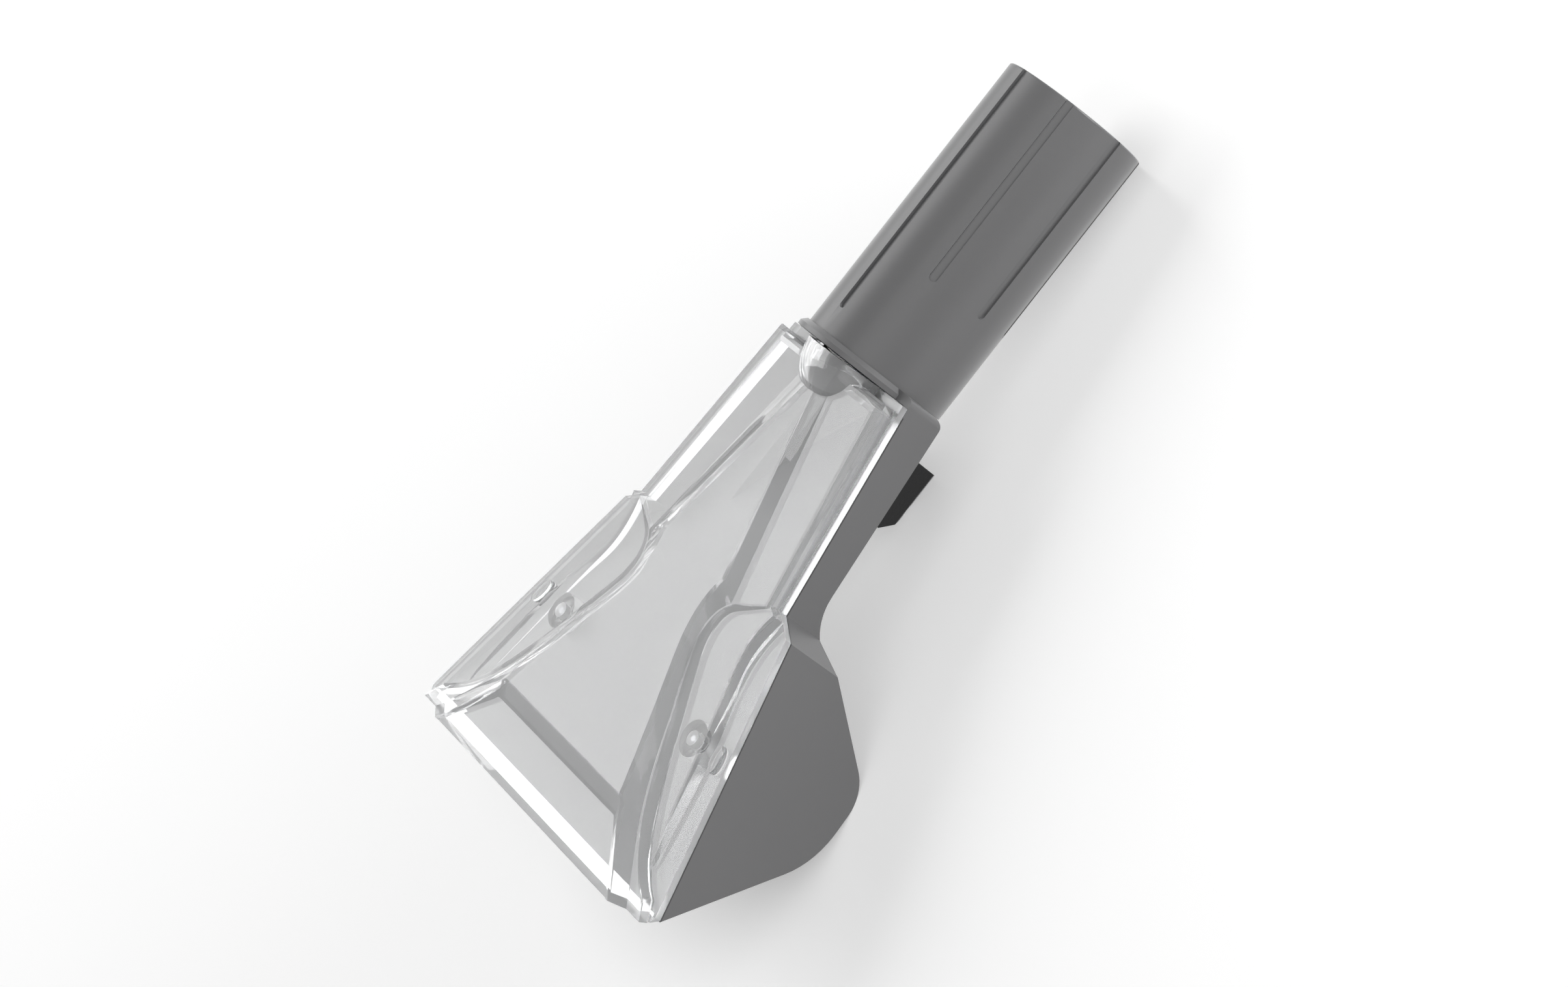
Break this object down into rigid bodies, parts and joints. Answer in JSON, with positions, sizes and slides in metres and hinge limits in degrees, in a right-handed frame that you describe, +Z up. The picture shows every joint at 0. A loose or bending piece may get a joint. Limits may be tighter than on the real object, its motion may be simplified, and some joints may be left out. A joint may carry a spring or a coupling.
{
  "type": "vacuum upholstery nozzle",
  "caption": "Spray-extraction upholstery nozzle with a fluted tube, grey housing, clear flared cover over the suction channel and a hooded spray jet.",
  "frame": {"origin": "middle of the footprint on the floor, the nozzle lying on its back", "axes": "+X across the mouth, +Y along the tube away from the mouth, +Z up, the way the clear cover faces"},
  "size_m": [0.1118, 0.191, 0.0445],
  "materials": {
    "grey_plastic": "fine spark-eroded grain",
    "clear_plastic": "clear, polished",
    "black_plastic": "fine grain",
    "natural_pipe": "milky",
    "screw_steel": "zinc plated",
    "black_rubber": "smooth",
    "jet_brass": "turned",
    "filter_steel": "mesh"
  },
  "bodies": {
    "root": {"housing": "grey_plastic", "clear_cover": "clear_plastic", "cover_screw_left": "screw_steel", "cover_screw_right": "screw_steel", "spray_coupling": "black_plastic", "coupling_screw_left": "screw_steel", "coupling_screw_right": "screw_steel", "socket_o_ring": "black_rubber", "feed_pipe": "natural_pipe", "pipe_o_ring_upper": "black_rubber", "pipe_o_ring_lower": "black_rubber", "jet_holder": "black_plastic", "jet_filter": "filter_steel", "jet_gasket": "black_rubber", "fan_jet": "jet_brass", "jet_nut": "black_plastic"}
  },
  "joints": []
}
